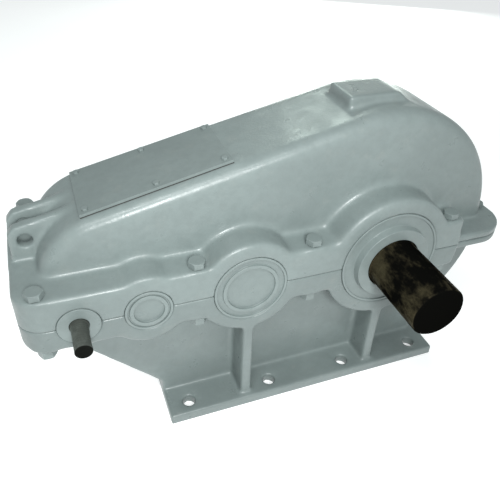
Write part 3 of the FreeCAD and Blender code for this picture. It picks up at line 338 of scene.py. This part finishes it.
def shaft_finish(name):
    """Bare shaft steel under dark preserving grease, rubbed through to brown in patches.

    The thin input shaft carries less grease than the output shaft. Both free end faces are
    covered in it.
    """
    graph = Graph(name)
    x, y, _ = graph.axes()
    marks = turning_marks(graph)
    input_side = graph.ramp(x, low=-0.30, high=-0.25, start=1.0, end=0.0)
    bare = graph.mix(input_side, OUTPUT_SHAFT_SKIN, INPUT_SHAFT_SKIN)
    bare = graph.mix(graph.ramp(marks, low=0.3, high=0.7, end=0.35), bare, TOOL_MARKS)
    patches = graph.noise(scale=19, detail=7, roughness=0.66, stretch=(1.0, 0.55, 1.0))
    film = graph.ramp(patches, low=0.43, high=0.66, start=1.0, end=0.0)
    film = graph.times(film, graph.ramp(input_side, low=0.0, high=1.0, start=1.0, end=0.62))
    thick_end = end_mask(graph, y, "output_shaft", 3.0 * MM)
    thin_end = graph.times(end_mask(graph, y, "input_pinion_shaft", 2.5 * MM),
                           graph.times(input_side, 0.97))
    end_face = graph.larger(thick_end, thin_end)
    film = graph.larger(film, end_face)
    base = graph.mix(film, bare, GREASE_COAT)
    metal = graph.ramp(film, low=0.0, high=1.0, start=0.55, end=0.0)
    gloss = graph.ramp(film, low=0.0, high=1.0, start=0.40, end=0.30)
    gloss = graph.plus(gloss, graph.times(end_face, 0.35))
    return graph.finish(colour=base, roughness=gloss, metallic=metal,
                        normal=turned_skin(graph, marks), specular=0.0)


def plain(name, colour, roughness, scale=300, depth=0.0004, metallic=0.0):
    """A matte or metallic finish with fine grain: gaskets, seals and washers."""
    graph = Graph(name)
    grain = graph.noise(scale, detail=4)
    base = graph.mix(graph.ramp(grain, low=0.3, high=0.7), tint(colour, 0.8), tint(colour, 1.2))
    gloss = graph.ramp(grain, low=0.3, high=0.7, start=roughness - 0.05, end=roughness + 0.08)
    return graph.finish(colour=base, roughness=gloss, metallic=metallic,
                        normal=graph.bump(grain, strength=0.35, distance=depth))


RECIPES = {
    "lower_casing_paint": (paint, {"colour": grey(0.88)}),
    "upper_casing_paint": (paint, {"colour": GREY}),
    "cover_paint": (paint, {"colour": grey(0.88), "cast": 0.35, "roughness": 0.48}),
    "bearing_cover_paint": (paint, {"colour": GREY, "cast": 0.6}),
    "fastener_paint": (paint, {"colour": grey(0.95), "cast": 0.3, "roughness": 0.34}),
    "gasket": (plain, {"colour": (0.035, 0.035, 0.033), "roughness": 0.8}),
    "seal_rubber": (plain, {"colour": (0.016, 0.016, 0.016), "roughness": 0.55, "scale": 500}),
    "shaft_steel": (shaft_finish, {}),
    "bearing_steel": (steel, {"colour": (0.55, 0.55, 0.56), "roughness": 0.18}),
    "gear_steel": (steel, {"colour": (0.36, 0.35, 0.34), "roughness": 0.30, "grease": 0.25}),
    "machined_steel": (steel, {"colour": (0.42, 0.42, 0.42), "roughness": 0.30}),
    "copper_washer": (plain, {"colour": (0.62, 0.33, 0.20), "roughness": 0.35, "scale": 200,
                              "depth": 0.0002, "metallic": 1.0}),
}
FINISHES = {name: make(name, **values) for name, (make, values) in RECIPES.items()}


# ---------------------------------------------------------------- making pieces from the frame
WELD = 2e-6
FLAT = math.radians(0.4)
SHARP = math.radians(32)


def add_piece(name, mesh, nodes):
    """Put a mesh in the scene as the piece that stands for some CAD nodes."""
    piece = bpy.data.objects.new(name, mesh)
    SCENE.collection.objects.link(piece)
    mesh.materials.clear()
    mesh.materials.append(FINISHES[SLOT_OF[nodes[0]]])
    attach(piece, BODY_OF[nodes[0]])
    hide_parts(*nodes)
    return piece


def closed_skin(node, join_flats=False):
    """A copy of a node's mesh as one closed skin. join_flats makes each flat face one face."""
    mesh = NODES[node].data.copy()
    mesh.name = node + "_skin"
    skin = bmesh.new()
    skin.from_mesh(mesh)
    bmesh.ops.remove_doubles(skin, verts=skin.verts, dist=WELD)
    if join_flats:
        bmesh.ops.dissolve_limit(skin, angle_limit=FLAT, verts=skin.verts, edges=skin.edges)
    skin.to_mesh(mesh)
    skin.free()
    return mesh


def apply_modifiers(piece):
    """Fix a piece's modifiers in its mesh."""
    bpy.context.view_layer.update()
    graph = bpy.context.evaluated_depsgraph_get()
    mesh = bpy.data.meshes.new_from_object(piece.evaluated_get(graph))
    piece.modifiers.clear()
    old = piece.data
    piece.data = mesh
    bpy.data.meshes.remove(old)


def ease(node, width=0.8 * MM, segments=2):
    """A machined piece with its sharp edges eased by a small round."""
    mesh = closed_skin(node, join_flats=True)
    mesh.shade_smooth()
    mesh.set_sharp_from_angle(angle=SHARP)
    piece = add_piece(node + "_eased", mesh, [node])
    bevel = piece.modifiers.new("ease", "BEVEL")
    bevel.width = width
    bevel.segments = segments
    bevel.limit_method = "ANGLE"
    bevel.angle_limit = SHARP
    bevel.use_clamp_overlap = True
    bevel.harden_normals = True
    apply_modifiers(piece)


# ---------------------------------------------------------------- castings
VOXEL = 2.1 * MM
PASSES = 80

# Where a casting stays crisp, in millimetres. A pair is a distance that is crisp and one from
# which the casting is as soft as elsewhere. Softness is how far each pass moves a point toward
# its neighbours: 0 not at all, 1 half the way.
SPLIT_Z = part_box("lower_casing")[1].z / MM
SHAFT_X = [1000 * joint["pos_m"][0] for joint in frame["joints"]]
BORES = (90, 60, 36, 31)
NEAR_SPLIT = (3, 22)
NEAR_BORE = (5, 16)
BOSS_FACE = (132, 126)
END_FLANGE_X = 262
END_FLANGE_REACH = 24
BOLT_SEAT = (20, 34)
NEAR_FOOT = (2, 60)
CROWN_SIDE = (-160, -20)

CRISP = 0.03
FOOT_SOFTNESS = 0.04
SEAT_SOFTNESS = 0.08
BOSS_SOFTNESS = 0.10
LUG_SOFTNESS = 0.30
WALL_SOFTNESS = 0.36
LOWER_SOFTNESS = 0.40

# Regions: their stretch of X, how far they reach to both sides of the middle, and their lowest Z.
EARS = ((-math.inf, -424), 40, 300)
LUG = ((40, 215), 48, 455)
INSPECTION_SEAT = ((-368, -126), 70, 380)

# Pads on the back wall, by their X and Z.
BACK_WALL_Y = 80
PAD_REACH = 32
BREATHER_PAD = (123, 440)
PLUG_PADS = ((60, 48), (60, 128))


def fade(distance, near, far):
    """0 up to near, 1 beyond far."""
    return np.clip((distance - near) / (far - near), 0, 1)


def region(place, stretch, reach, bottom):
    x, y, z = place.T
    return (x > stretch[0]) & (x < stretch[1]) & (np.abs(y) < reach) & (z > bottom)


def pad(place, centre):
    x, y, z = place.T
    return (y > BACK_WALL_Y) & (np.hypot(x - centre[0], z - centre[1]) < PAD_REACH)


def keep_seats_crisp(place, softness):
    """Lessen the softness near the split, the bores, the end flange and the bolt seats."""
    x, y, z = place.T
    from_split = np.abs(z - SPLIT_Z)
    softness = np.minimum(softness, CRISP + fade(from_split, *NEAR_SPLIT))
    inside_face = fade(-np.abs(y), -BOSS_FACE[0], -BOSS_FACE[1])
    for shaft_x, bore in zip(SHAFT_X, BORES):
        from_bore = np.hypot(x - shaft_x, z - SPLIT_Z) - bore
        softness = np.minimum(softness, CRISP + fade(from_bore, *NEAR_BORE) + inside_face)
    flange = (x > END_FLANGE_X) & (from_split < END_FLANGE_REACH)
    softness = np.where(flange, np.minimum(softness, BOSS_SOFTNESS), softness)
    for node in ("casing_bolts", "end_flange_bolts"):
        for points in islands(node):
            centre = (points.min(0) + points.max(0)) / 2 / MM
            from_bolt = np.hypot(x - centre[0], y - centre[1])
            softness = np.minimum(softness, BOSS_SOFTNESS + fade(from_bolt, *BOLT_SEAT))
    return softness


def upper_softness(place):
    """Twice as soft round the crown, with crisp ears, cover seat and breather pad."""
    softness = WALL_SOFTNESS + WALL_SOFTNESS * fade(place[:, 0], *CROWN_SIDE)
    softness = np.where(region(place, *EARS), BOSS_SOFTNESS, softness)
    softness = np.where(region(place, *LUG), LUG_SOFTNESS, softness)
    softness = np.where(region(place, *INSPECTION_SEAT), SEAT_SOFTNESS, softness)
    softness = np.where(pad(place, BREATHER_PAD), BOSS_SOFTNESS, softness)
    return keep_seats_crisp(place, softness)


def lower_softness(place):
    """Even, with a crisp foot and crisp plug pads."""
    above_foot = FOOT_SOFTNESS + WALL_SOFTNESS * fade(place[:, 2], *NEAR_FOOT)
    softness = np.minimum(LOWER_SOFTNESS, above_foot)
    for centre in PLUG_PADS:
        softness = np.where(pad(place, centre), SEAT_SOFTNESS, softness)
    return keep_seats_crisp(place, softness)


def relax(mesh, softness_at):
    """Round a finely divided mesh: each vertex moves toward its neighbours, by its softness."""
    count = len(mesh.vertices)
    place = np.empty(count * 3)
    mesh.vertices.foreach_get("co", place)
    place = place.reshape(-1, 3)
    pairs = np.empty(len(mesh.edges) * 2, int)
    mesh.edges.foreach_get("vertices", pairs)
    first, second = pairs.reshape(-1, 2).T
    degree = np.bincount(pairs, minlength=count)[:, None]
    step = 0.5 * softness_at(place / MM)[:, None]
    for _ in range(PASSES):
        around = np.stack([np.bincount(first, place[second, axis], count)
                           + np.bincount(second, place[first, axis], count)
                           for axis in range(3)], axis=1)
        place += step * (around / degree - place)
    mesh.vertices.foreach_set("co", place.ravel())
    mesh.update()


def cast(node, softness_at):
    """A casting: the CAD shape with its edges and inner corners rounded as a mould leaves them."""
    piece = add_piece(node + "_cast", closed_skin(node), [node])
    remesh = piece.modifiers.new("grid", "REMESH")
    remesh.mode = "VOXEL"
    remesh.voxel_size = VOXEL
    apply_modifiers(piece)
    relax(piece.data, softness_at)
    piece.data.shade_smooth()


# ---------------------------------------------------------------- hexagon heads and nuts
THREAD_PITCH = 1.6 * MM
THREAD_DEPTH = 0.9 * MM
THREAD_CREST = (0.45, 0.6)  # where the crest begins and ends within a pitch
CORNER_CIRCLE = 0.475  # radius of the round end face, as a share of the width across flats
DECIMALS = 5  # points that agree this far in metres are at one height
HEAD_STEPS = 96
SHANK_STEPS = 48
HEX_SHARP = math.radians(24)
CORNER_CUT = math.radians(30)


def islands(node):
    """The separate solids of a node, each as an array of points."""
    skin = bmesh.new()
    skin.from_mesh(NODES[node].data)
    bmesh.ops.remove_doubles(skin, verts=skin.verts, dist=WELD)
    left, found = set(skin.verts), []
    while left:
        queue, members = [left.pop()], []
        while queue:
            vertex = queue.pop()
            members.append(vertex.co[:])
            for edge in vertex.link_edges:
                other = edge.other_vert(vertex)
                if other in left:
                    left.discard(other)
                    queue.append(other)
        found.append(np.array(members))
    skin.free()
    return sorted(found, key=lambda points: tuple(points.min(0).round(DECIMALS)))


def at(value, angle):
    """A ring's radius or height: a number, or a function of the angle."""
    return value(angle) if callable(value) else value


def add_rings(skin, rings, steps):
    """A closed skin through rings round the Z axis. A ring is its radius and its height."""
    rows = []
    for radius, height in rings:
        row = []
        for step in range(steps):
            angle = 2 * math.pi * step / steps
            reach = at(radius, angle)
            row.append(skin.verts.new((reach * math.cos(angle), reach * math.sin(angle),
                                       at(height, angle))))
        rows.append(row)
    for here, there in zip(rows, rows[1:]):
        for step in range(steps):
            after = (step + 1) % steps
            skin.faces.new((here[step], here[after], there[after], there[step]))
    skin.faces.new(list(reversed(rows[0])))
    skin.faces.new(rows[-1])
    return [vertex for row in rows for vertex in row]


def hexagon_rings(flats, low, high, cut_low):
    """Rings of a hexagonal block whose corners are cut by a cone, above and if asked below."""
    circle = CORNER_CIRCLE * flats

    def corner(angle):
        return flats / 2 / math.cos(angle % (math.pi / 3) - math.pi / 6)

    def drop(angle):
        return (corner(angle) - circle) * math.tan(CORNER_CUT)

    below = [(corner, low)]
    if cut_low:
        below = [(circle, low), (corner, lambda angle: low + drop(angle))]
    return below + [(corner, lambda angle: high - drop(angle)), (circle, high)]


def thread_rings(radius, low, high):
    """Rings of a threaded stretch, from low up to high."""
    count = max(1, round((high - low) / THREAD_PITCH))
    pitch = (high - low) / count
    root = radius - THREAD_DEPTH
    rings = [(root, low)]
    for turn in range(count):
        start = low + turn * pitch
        rings += [(radius, start + share * pitch) for share in THREAD_CREST]
        rings.append((root, start + pitch))
    return rings


def detail_bolts(node, radius):
    """Bolts with cut corners on their heads and a thread one radius long at their lower ends."""
    def add_bolt(skin, points, flats, low, high):
        seat = sorted(set(np.round(points[:, 2], DECIMALS)))[-2]
        shank = thread_rings(radius, low, low + radius) + [(radius, seat)]
        return (add_rings(skin, hexagon_rings(flats, seat, high, cut_low=False), HEAD_STEPS)
                + add_rings(skin, shank, SHANK_STEPS))

    detail(node, add_bolt)


def detail_nuts(node):
    """Nuts with cut corners above and below."""
    def add_nut(skin, points, flats, low, high):
        return add_rings(skin, hexagon_rings(flats, low, high, cut_low=True), HEAD_STEPS)

    detail(node, add_nut)


def detail(node, add_one):
    """Replace a node of bolts or nuts by one piece, which add_one draws solid by solid."""
    skin = bmesh.new()
    for points in islands(node):
        low, high = points.min(0), points.max(0)
        flats = min(high[0] - low[0], high[1] - low[1])
        centre = (low + high) / 2
        verts = add_one(skin, points, flats, low[2], high[2])
        bmesh.ops.translate(skin, verts=verts, vec=(centre[0], centre[1], 0))
    bmesh.ops.recalc_face_normals(skin, faces=skin.faces)
    mesh = bpy.data.meshes.new(node + "_skin")
    skin.to_mesh(mesh)
    skin.free()
    mesh.shade_smooth()
    mesh.set_sharp_from_angle(angle=HEX_SHARP)
    add_piece(node + "_detailed", mesh, [node])


# ---------------------------------------------------------------- build
MACHINED = ("output_shaft", "input_pinion_shaft", "output_shaft_seal", "input_shaft_seal",
            "drain_plug", "oil_level_plug", "breather")


def finish_nodes():
    """Every CAD node gets its slot's finish, whether it still shows or not."""
    for name, thing in NODES.items():
        finish = FINISHES[SLOT_OF[name]]
        thing.data.materials.clear()
        thing.data.materials.append(finish)


def is_bearing_cover(node):
    return "_cover_" in node and "inspection" not in node


finish_nodes()
add_camera()
add_surroundings()
cast("upper_casing", upper_softness)
cast("lower_casing", lower_softness)
for node in NODES:
    if is_bearing_cover(node) or node in MACHINED:
        ease(node)
ease("inspection_cover", width=2.6 * MM, segments=4)
ease("inspection_cover_screws", width=0.5 * MM)
detail_bolts("casing_bolts", radius=8 * MM)
detail_bolts("end_flange_bolts", radius=6 * MM)
detail_nuts("casing_nuts")
detail_nuts("end_flange_nuts")
